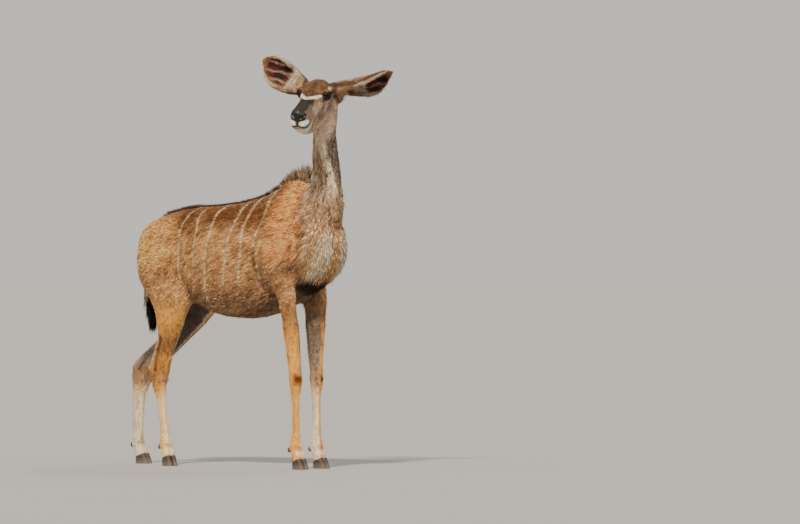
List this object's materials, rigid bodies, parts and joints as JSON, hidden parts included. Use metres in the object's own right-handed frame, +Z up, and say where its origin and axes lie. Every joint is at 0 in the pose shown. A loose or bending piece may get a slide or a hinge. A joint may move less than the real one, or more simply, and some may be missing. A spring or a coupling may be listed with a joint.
{
  "type": "greater kudu cow",
  "caption": "Life-size still model of a hornless greater kudu cow, standing with her left hind leg stretched back and her head turned over her right side, ears spread.",
  "frame": {"origin": "on the ground, at the middle of the animal's bounding box in X and Y", "axes": "+X from the tail to the chest, +Y to the animal's left, +Z up from the ground"},
  "size_m": [1.5762, 0.5794, 1.8221],
  "materials": {
    "coat": "short tawny hair that lies flat",
    "neck_coat": "short grey-brown hair with a dark mane on the nape",
    "leg_coat": "very short sandy hair",
    "ear_coat": "short brown hair outside, pale fringe over dark skin inside",
    "tail_hair": "longer hair with a black tip",
    "hoof_horn": "dull worn horn",
    "eye": "wet and glossy"
  },
  "bodies": {
    "root": {"torso": "coat", "neck": "neck_coat", "head": "coat", "ear_right": "ear_coat", "ear_left": "ear_coat", "eye_right": "eye", "eye_left": "eye", "tail": "tail_hair", "foreleg_right": "leg_coat", "foreleg_left": "leg_coat", "hindleg_right": "leg_coat", "hindleg_left": "leg_coat", "hoof_foreleg_right_left": "hoof_horn", "hoof_foreleg_right_right": "hoof_horn", "hoof_foreleg_left_left": "hoof_horn", "hoof_foreleg_left_right": "hoof_horn", "hoof_hindleg_right_left": "hoof_horn", "hoof_hindleg_right_right": "hoof_horn", "hoof_hindleg_left_left": "hoof_horn", "hoof_hindleg_left_right": "hoof_horn", "dewclaw_foreleg_right_left": "hoof_horn", "dewclaw_foreleg_right_right": "hoof_horn", "dewclaw_foreleg_left_left": "hoof_horn", "dewclaw_foreleg_left_right": "hoof_horn", "dewclaw_hindleg_right_left": "hoof_horn", "dewclaw_hindleg_right_right": "hoof_horn", "dewclaw_hindleg_left_left": "hoof_horn", "dewclaw_hindleg_left_right": "hoof_horn"}
  },
  "joints": []
}
